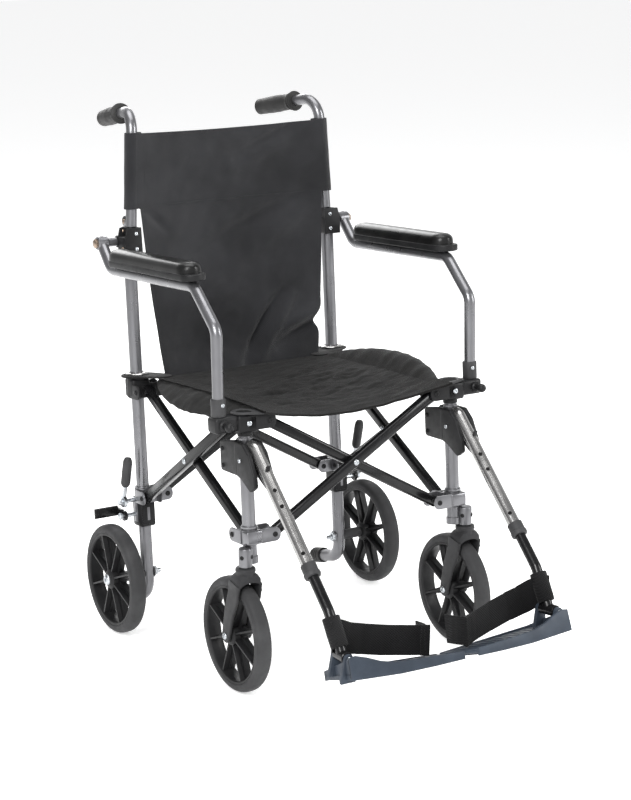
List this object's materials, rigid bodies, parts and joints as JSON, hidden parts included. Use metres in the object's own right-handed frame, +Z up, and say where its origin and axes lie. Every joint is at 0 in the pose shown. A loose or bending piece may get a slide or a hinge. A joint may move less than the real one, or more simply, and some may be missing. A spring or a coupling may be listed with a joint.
{
  "type": "transport wheelchair",
  "caption": "Folding transport wheelchair with X-braced tube frame, sling seat and back, flip-up armrests, swing-away footrests, push handles and small spoked wheels.",
  "frame": {"origin": "centre of the chair on the floor, under the middle of its overall box", "axes": "+Z up, the chair faces -Y, +X is the sitter's left; the frame leans back 4.4 degrees from upright"},
  "size_m": [0.568, 0.9406, 0.9137],
  "materials": {
    "silver_tube": "satin anodised tube",
    "zinc_steel": "bright zinc",
    "black_bar": "gloss black paint",
    "black_plastic": "fine satin",
    "moulded_pad": "soft moulded skin",
    "tyre_rubber": "matt grey-black",
    "nylon_fabric": "woven nylon",
    "footplate_plastic": "satin"
  },
  "bodies": {
    "rear_frame_right": {"rear_post_right": "silver_tube", "back_hinge_bracket_right": "black_plastic"},
    "rear_frame_left": {"rear_post_left": "silver_tube", "back_hinge_bracket_left": "black_plastic"},
    "front_frame_right": {"front_leg_right": "silver_tube"},
    "front_frame_left": {"front_leg_left": "silver_tube"},
    "upper_front_right": {"upper_front_bracket_right": "black_plastic", "sliding_tube_right": "silver_tube"},
    "upper_front_left": {"upper_front_bracket_left": "black_plastic", "sliding_tube_left": "silver_tube"},
    "upper_rear_right": {"upper_rear_bracket_right": "black_plastic", "seat_sling": "nylon_fabric"},
    "upper_rear_left": {"upper_rear_bracket_left": "black_plastic"},
    "rear_x_outer": {"rear_brace_outer": "black_bar"},
    "rear_x_inner": {"rear_brace_inner": "black_bar"},
    "front_x_outer": {"front_brace_outer": "black_bar"},
    "front_x_inner": {"front_brace_inner": "black_bar"},
    "right_x_outer": {"right_brace_outer": "black_bar"},
    "right_x_inner": {"right_brace_inner": "black_bar"},
    "left_x_outer": {"left_brace_outer": "black_bar"},
    "left_x_inner": {"left_brace_inner": "black_bar"},
    "upper_back_right": {"upper_back_tube_right": "silver_tube", "push_grip_right": "black_plastic", "back_sling": "nylon_fabric"},
    "upper_back_left": {"upper_back_tube_left": "silver_tube", "push_grip_left": "black_plastic"},
    "armrest_pin_right": {"armrest_pivot_right": "zinc_steel"},
    "armrest_right": {"armrest_tube_right": "silver_tube", "armrest_pad_right": "moulded_pad"},
    "knob_right": {"lock_knob_right": "black_plastic"},
    "foot_bush_right": {"footrest_bush_right": "black_plastic"},
    "footrest_right": {"footrest_housing_right": "black_plastic", "hanger_tube_right": "silver_tube"},
    "extension_right": {"extension_tube_right": "black_bar", "heel_loop_right": "nylon_fabric"},
    "footplate_hinged_right": {"footplate_right": "footplate_plastic"},
    "caster_right": {"caster_fork_right": "black_plastic"},
    "front_wheel_right": {"front_wheel_right_tyre": "tyre_rubber", "front_wheel_right_hub": "black_plastic"},
    "rear_wheel_right": {"rear_wheel_right_tyre": "tyre_rubber", "rear_wheel_right_hub": "black_plastic"},
    "brake_hand_right": {"brake_lever_right": "black_plastic"},
    "brake_press_right": {"brake_shoe_right": "black_plastic"},
    "armrest_pin_left": {"armrest_pivot_left": "zinc_steel"},
    "armrest_left": {"armrest_tube_left": "silver_tube", "armrest_pad_left": "moulded_pad"},
    "knob_left": {"lock_knob_left": "black_plastic"},
    "foot_bush_left": {"footrest_bush_left": "black_plastic"},
    "footrest_left": {"footrest_housing_left": "black_plastic", "hanger_tube_left": "silver_tube"},
    "extension_left": {"extension_tube_left": "black_bar", "heel_loop_left": "nylon_fabric"},
    "footplate_hinged_left": {"footplate_left": "footplate_plastic"},
    "caster_left": {"caster_fork_left": "black_plastic"},
    "front_wheel_left": {"front_wheel_left_tyre": "tyre_rubber", "front_wheel_left_hub": "black_plastic"},
    "rear_wheel_left": {"rear_wheel_left_tyre": "tyre_rubber", "rear_wheel_left_hub": "black_plastic"},
    "brake_hand_left": {"brake_lever_left": "black_plastic"},
    "brake_press_left": {"brake_shoe_left": "black_plastic"}
  },
  "joints": [
    {"name": "fold", "type": "hinge", "parent": "rear_frame_right", "child": "rear_x_outer", "pos_m": [-0.1615, 0.26395, 0.2371], "axis": [0, 0.9971, -0.0767], "range_deg": [-38, 0], "deforming": ["seat_sling", "back_sling"]},
    {"name": "fold_rear_cross", "type": "hinge", "parent": "rear_x_outer", "child": "rear_x_inner", "pos_m": [0, 0.27116, 0.33082], "axis": [0, 0.9971, -0.0767], "range_deg": [0, 76]},
    {"name": "fold_rear_left", "type": "hinge", "parent": "rear_x_inner", "child": "rear_frame_left", "pos_m": [0.1615, 0.26395, 0.2371], "axis": [0, 0.9971, -0.0767], "range_deg": [-38, 0]},
    {"name": "fold_top_rear_right", "type": "hinge", "parent": "rear_x_inner", "child": "upper_rear_right", "pos_m": [-0.1615, 0.27838, 0.42455], "axis": [0, 0.9971, -0.0767], "range_deg": [-38, 0]},
    {"name": "fold_top_rear_left", "type": "hinge", "parent": "rear_x_outer", "child": "upper_rear_left", "pos_m": [0.1615, 0.27838, 0.42455], "axis": [0, 0.9971, -0.0767], "range_deg": [0, 38]},
    {"name": "fold_side_right", "type": "hinge", "parent": "rear_frame_right", "child": "right_x_outer", "pos_m": [-0.2, 0.23653, 0.23921], "axis": [1, 0, 0], "range_deg": [-38, 0]},
    {"name": "fold_side_cross_right", "type": "hinge", "parent": "right_x_outer", "child": "right_x_inner", "pos_m": [-0.2, 0.08272, 0.34532], "axis": [1, 0, 0], "range_deg": [0, 76]},
    {"name": "fold_front_leg_right", "type": "hinge", "parent": "right_x_inner", "child": "front_frame_right", "pos_m": [-0.2, -0.08551, 0.26399], "axis": [1, 0, 0], "range_deg": [-38, 0]},
    {"name": "fold_top_front_right", "type": "hinge", "parent": "right_x_outer", "child": "upper_front_right", "pos_m": [-0.2, -0.07109, 0.45143], "axis": [1, 0, 0], "range_deg": [0, 38]},
    {"name": "fold_armrest_right", "type": "hinge", "parent": "rear_frame_right", "child": "armrest_pin_right", "pos_m": [-0.2168, 0.31428, 0.68255], "axis": [-1, 0, 0], "range_deg": [0, 100]},
    {"name": "fold_footrest_right", "type": "hinge", "parent": "front_frame_right", "child": "foot_bush_right", "pos_m": [-0.2, -0.10311, 0.39372], "axis": [0, -0.0767, -0.9971], "range_deg": [0, 95]},
    {"name": "fold_side_left", "type": "hinge", "parent": "rear_frame_left", "child": "left_x_outer", "pos_m": [0.2, 0.23653, 0.23921], "axis": [1, 0, 0], "range_deg": [-38, 0]},
    {"name": "fold_side_cross_left", "type": "hinge", "parent": "left_x_outer", "child": "left_x_inner", "pos_m": [0.2, 0.08272, 0.34532], "axis": [1, 0, 0], "range_deg": [0, 76]},
    {"name": "fold_front_leg_left", "type": "hinge", "parent": "left_x_inner", "child": "front_frame_left", "pos_m": [0.2, -0.08551, 0.26399], "axis": [1, 0, 0], "range_deg": [-38, 0]},
    {"name": "fold_top_front_left", "type": "hinge", "parent": "left_x_outer", "child": "upper_front_left", "pos_m": [0.2, -0.07109, 0.45143], "axis": [1, 0, 0], "range_deg": [0, 38]},
    {"name": "fold_armrest_left", "type": "hinge", "parent": "rear_frame_left", "child": "armrest_pin_left", "pos_m": [0.2168, 0.31428, 0.68255], "axis": [-1, 0, 0], "range_deg": [0, 100]},
    {"name": "fold_footrest_left", "type": "hinge", "parent": "front_frame_left", "child": "foot_bush_left", "pos_m": [0.2, -0.10311, 0.39372], "axis": [0, 0.0767, 0.9971], "range_deg": [0, 95]},
    {"name": "fold_front", "type": "hinge", "parent": "front_frame_right", "child": "front_x_outer", "pos_m": [-0.1615, -0.11293, 0.2661], "axis": [0, 0.9971, -0.0767], "range_deg": [-38, 0]},
    {"name": "fold_front_cross", "type": "hinge", "parent": "front_x_outer", "child": "front_x_inner", "pos_m": [0, -0.10572, 0.35982], "axis": [0, 0.9971, -0.0767], "range_deg": [0, 76]},
    {"name": "back_fold_right", "type": "hinge", "parent": "rear_frame_right", "child": "upper_back_right", "pos_m": [-0.196, 0.31217, 0.70077], "axis": [-1, 0, 0], "range_deg": [0, 115], "deforming": ["back_sling"]},
    {"name": "armrest_flip_right", "type": "hinge", "parent": "armrest_pin_right", "child": "armrest_right", "pos_m": [-0.244, 0.31428, 0.68255], "axis": [-1, 0, 0], "range_deg": [0, 100]},
    {"name": "armrest_lock_right", "type": "slide", "parent": "upper_front_right", "child": "knob_right", "axis": [0, -0.9971, 0.0767], "range_m": [0, 0.008], "stiffness_N_per_m": 300, "springref_m": -0.004},
    {"name": "footrest_swing_right", "type": "hinge", "parent": "foot_bush_right", "child": "footrest_right", "pos_m": [-0.2, -0.10311, 0.39372], "axis": [0, -0.0767, -0.9971], "range_deg": [0, 95]},
    {"name": "footrest_height_right", "type": "slide", "parent": "footrest_right", "child": "extension_right", "axis": [0, 0.7316, 0.6818], "range_m": [0, 0.05]},
    {"name": "footplate_flip_right", "type": "hinge", "parent": "extension_right", "child": "footplate_hinged_right", "pos_m": [-0.197, -0.39054, 0.15156], "axis": [-0.1736, -0.9819, 0.0756], "range_deg": [0, 85], "deforming": ["heel_loop_right"]},
    {"name": "caster_swivel_right", "type": "hinge", "parent": "front_frame_right", "child": "caster_right", "pos_m": [-0.216, -0.127, 0.193], "axis": [0, 0, 1], "continuous": true},
    {"name": "front_wheel_spin_right", "type": "hinge", "parent": "caster_right", "child": "front_wheel_right", "pos_m": [-0.216, -0.097, 0.0965], "axis": [1, 0, 0], "continuous": true},
    {"name": "rear_wheel_spin_right", "type": "hinge", "parent": "rear_frame_right", "child": "rear_wheel_right", "pos_m": [-0.262, 0.25313, 0.0965], "axis": [1, 0, 0], "continuous": true},
    {"name": "brake_lever_turn_right", "type": "hinge", "parent": "rear_frame_right", "child": "brake_hand_right", "pos_m": [-0.2385, 0.26349, 0.23112], "axis": [1, 0, 0], "range_deg": [0, 46]},
    {"name": "brake_shoe_turn_right", "type": "hinge", "parent": "rear_frame_right", "child": "brake_press_right", "pos_m": [-0.2385, 0.2615, 0.20519], "axis": [-1, 0, 0], "range_deg": [0, 20.5]},
    {"name": "back_fold_left", "type": "hinge", "parent": "rear_frame_left", "child": "upper_back_left", "pos_m": [0.196, 0.31217, 0.70077], "axis": [-1, 0, 0], "range_deg": [0, 115]},
    {"name": "armrest_flip_left", "type": "hinge", "parent": "armrest_pin_left", "child": "armrest_left", "pos_m": [0.244, 0.31428, 0.68255], "axis": [-1, 0, 0], "range_deg": [0, 100]},
    {"name": "armrest_lock_left", "type": "slide", "parent": "upper_front_left", "child": "knob_left", "axis": [0, -0.9971, 0.0767], "range_m": [0, 0.008], "stiffness_N_per_m": 300, "springref_m": -0.004},
    {"name": "footrest_swing_left", "type": "hinge", "parent": "foot_bush_left", "child": "footrest_left", "pos_m": [0.2, -0.10311, 0.39372], "axis": [0, 0.0767, 0.9971], "range_deg": [0, 95]},
    {"name": "footrest_height_left", "type": "slide", "parent": "footrest_left", "child": "extension_left", "axis": [0, 0.7316, 0.6818], "range_m": [0, 0.05]},
    {"name": "footplate_flip_left", "type": "hinge", "parent": "extension_left", "child": "footplate_hinged_left", "pos_m": [0.197, -0.39054, 0.15156], "axis": [-0.1736, 0.9819, -0.0756], "range_deg": [0, 85], "deforming": ["heel_loop_left"]},
    {"name": "caster_swivel_left", "type": "hinge", "parent": "front_frame_left", "child": "caster_left", "pos_m": [0.216, -0.127, 0.193], "axis": [0, 0, 1], "continuous": true},
    {"name": "front_wheel_spin_left", "type": "hinge", "parent": "caster_left", "child": "front_wheel_left", "pos_m": [0.216, -0.097, 0.0965], "axis": [1, 0, 0], "continuous": true},
    {"name": "rear_wheel_spin_left", "type": "hinge", "parent": "rear_frame_left", "child": "rear_wheel_left", "pos_m": [0.262, 0.25313, 0.0965], "axis": [1, 0, 0], "continuous": true},
    {"name": "brake_lever_turn_left", "type": "hinge", "parent": "rear_frame_left", "child": "brake_hand_left", "pos_m": [0.2385, 0.26349, 0.23112], "axis": [1, 0, 0], "range_deg": [0, 46]},
    {"name": "brake_shoe_turn_left", "type": "hinge", "parent": "rear_frame_left", "child": "brake_press_left", "pos_m": [0.2385, 0.2615, 0.20519], "axis": [-1, 0, 0], "range_deg": [0, 20.5]}
  ],
  "couplings": [
    {"joint": "fold_rear_cross", "follows": "fold", "ratio": -2},
    {"joint": "fold_rear_left", "follows": "fold", "ratio": 1},
    {"joint": "fold_top_rear_right", "follows": "fold", "ratio": 1},
    {"joint": "fold_top_rear_left", "follows": "fold", "ratio": -1},
    {"joint": "fold_side_right", "follows": "fold", "ratio": 1},
    {"joint": "fold_side_cross_right", "follows": "fold", "ratio": -2},
    {"joint": "fold_front_leg_right", "follows": "fold", "ratio": 1},
    {"joint": "fold_top_front_right", "follows": "fold", "ratio": -1},
    {"joint": "fold_armrest_right", "follows": "fold", "ratio": -2.6316},
    {"joint": "fold_footrest_right", "follows": "fold", "ratio": -2.5},
    {"joint": "fold_side_left", "follows": "fold", "ratio": 1},
    {"joint": "fold_side_cross_left", "follows": "fold", "ratio": -2},
    {"joint": "fold_front_leg_left", "follows": "fold", "ratio": 1},
    {"joint": "fold_top_front_left", "follows": "fold", "ratio": -1},
    {"joint": "fold_armrest_left", "follows": "fold", "ratio": -2.6316},
    {"joint": "fold_footrest_left", "follows": "fold", "ratio": -2.5},
    {"joint": "fold_front", "follows": "fold", "ratio": 1},
    {"joint": "fold_front_cross", "follows": "fold", "ratio": -2},
    {"joint": "brake_shoe_turn_right", "follows": "brake_lever_turn_right", "ratio": 0.44},
    {"joint": "brake_shoe_turn_left", "follows": "brake_lever_turn_left", "ratio": 0.44},
    {"joint": "back_fold_left", "follows": "back_fold_right", "ratio": 1}
  ]
}
